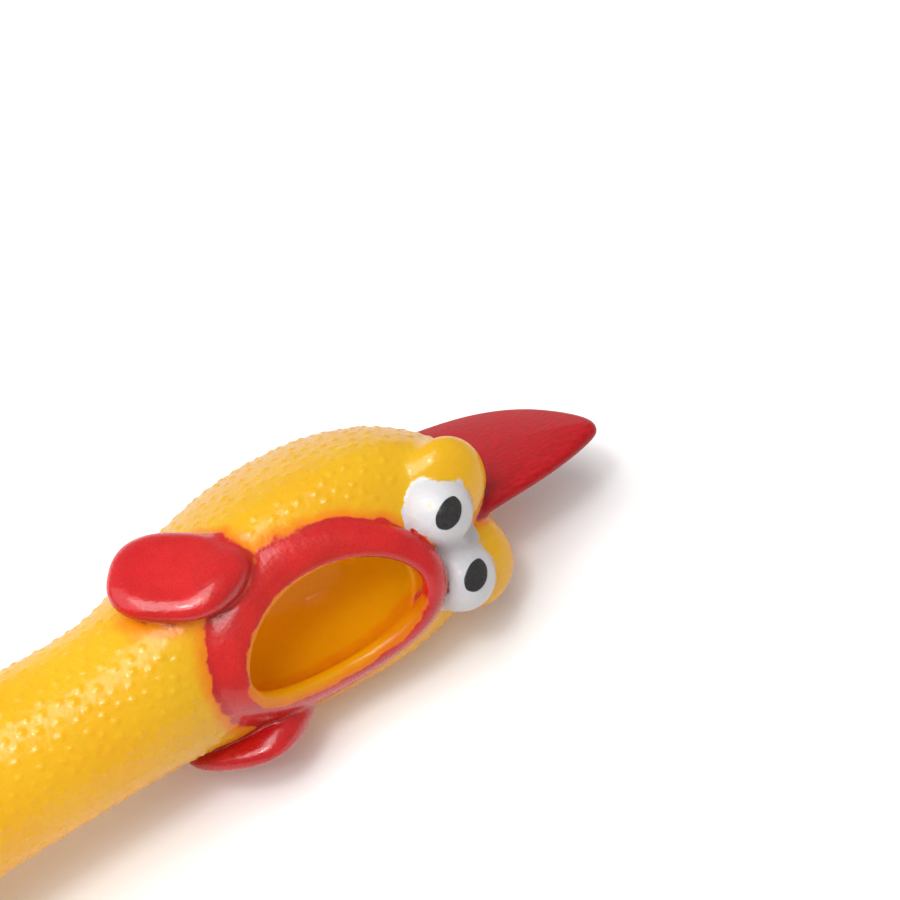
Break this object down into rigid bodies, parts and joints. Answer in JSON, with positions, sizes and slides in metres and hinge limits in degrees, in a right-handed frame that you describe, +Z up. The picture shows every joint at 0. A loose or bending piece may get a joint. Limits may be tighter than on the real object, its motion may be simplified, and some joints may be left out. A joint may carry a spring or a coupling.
{
  "type": "rubber chicken",
  "caption": "Hollow soft vinyl chicken toy lying on its left side, with a wide open mouth and a reed whistle in its throat.",
  "frame": {"origin": "centre of the bounding box's footprint, on the floor that the chicken lies on", "axes": "+X runs from the feet to the comb, +Z is up; the chicken lies on its left side with its face to -Y, turned up by 30 degrees"},
  "size_m": [0.4104, 0.1024, 0.1179],
  "materials": {
    "skin": "glossy soft vinyl with small raised pimples",
    "red_paint": "sprayed red paint on soft vinyl",
    "mouth": "deep orange inside of the mouth",
    "eye_white": "satin white paint",
    "pupil": "gloss black print",
    "whistle": "moulded polystyrene",
    "reed": "thin plastic film"
  },
  "bodies": {
    "torso": {"torso_skin": "skin", "tail": "skin"},
    "belly": {"belly_skin": "skin"},
    "neck_lower": {"neck_lower_skin": "skin"},
    "neck_upper": {"neck_upper_skin": "skin"},
    "head": {"head_skin": "skin", "mouth_lip": "red_paint", "mouth_lining": "mouth", "comb": "red_paint", "wattle_right": "red_paint", "wattle_left": "red_paint", "eye_right": "eye_white", "eye_left": "eye_white", "pupil_right": "pupil", "pupil_left": "pupil", "whistle_body": "whistle", "whistle_cap": "whistle", "reed_base": "whistle"},
    "reed": {"reed_tongue": "reed"},
    "wing_right": {"wing_right": "skin"},
    "wing_left": {"wing_left": "skin"},
    "leg_right": {"leg_right": "skin"},
    "leg_left": {"leg_left": "skin"},
    "foot_right": {"foot_right": "skin"},
    "foot_left": {"foot_left": "skin"}
  },
  "joints": [
    {"name": "neck_base", "type": "hinge", "parent": "torso", "child": "neck_lower", "pos_m": [-0.00068, 0.01001, 0.03925], "axis": [0.0423, 0.5, 0.865], "range_deg": [-30, 30], "stiffness_Nm_per_rad": 2},
    {"name": "neck_mid", "type": "hinge", "parent": "neck_lower", "child": "neck_upper", "pos_m": [0.03528, 0.01001, 0.0375], "axis": [-0.0244, 0.866, -0.4994], "range_deg": [-30, 30], "stiffness_Nm_per_rad": 2},
    {"name": "head_nod", "type": "hinge", "parent": "neck_upper", "child": "head", "pos_m": [0.07124, 0.01001, 0.03574], "axis": [0.0423, 0.5, 0.865], "range_deg": [-25, 25], "stiffness_Nm_per_rad": 2},
    {"name": "belly_squeeze", "type": "slide", "parent": "torso", "child": "belly", "axis": [-0.0244, 0.866, -0.4994], "range_m": [0, 0.009], "stiffness_N_per_m": 200},
    {"name": "wing_right_lift", "type": "hinge", "parent": "torso", "child": "wing_right", "pos_m": [-0.01531, 0.02601, 0.06772], "axis": [-0.0244, 0.866, -0.4994], "range_deg": [0, 35], "stiffness_Nm_per_rad": 0.1},
    {"name": "wing_left_lift", "type": "hinge", "parent": "torso", "child": "wing_left", "pos_m": [-0.01801, -0.00599, 0.01236], "axis": [0.0244, -0.866, 0.4994], "range_deg": [0, 35], "stiffness_Nm_per_rad": 0.1},
    {"name": "leg_right_swing", "type": "hinge", "parent": "torso", "child": "leg_right", "pos_m": [-0.09362, 0.01655, 0.06314], "axis": [0.0423, 0.5, 0.865], "range_deg": [-30, 30], "stiffness_Nm_per_rad": 0.8},
    {"name": "leg_left_swing", "type": "hinge", "parent": "torso", "child": "leg_left", "pos_m": [-0.09531, -0.00345, 0.02855], "axis": [0.0423, 0.5, 0.865], "range_deg": [-30, 30], "stiffness_Nm_per_rad": 0.8},
    {"name": "foot_right_flex", "type": "hinge", "parent": "leg_right", "child": "foot_right", "pos_m": [-0.18806, 0.02757, 0.08688], "axis": [0.2659, 0.4872, 0.8318], "range_deg": [-20, 20], "stiffness_Nm_per_rad": 0.15},
    {"name": "foot_left_flex", "type": "hinge", "parent": "leg_left", "child": "foot_left", "pos_m": [-0.19162, -0.01447, 0.01414], "axis": [-0.1835, 0.4872, 0.8538], "range_deg": [-20, 20], "stiffness_Nm_per_rad": 0.15},
    {"name": "reed_flex", "type": "hinge", "parent": "head", "child": "reed", "pos_m": [0.0797, 0.01088, 0.03482], "axis": [0.0423, 0.5, 0.865], "range_deg": [-3, 3], "stiffness_Nm_per_rad": 0.0002}
  ]
}
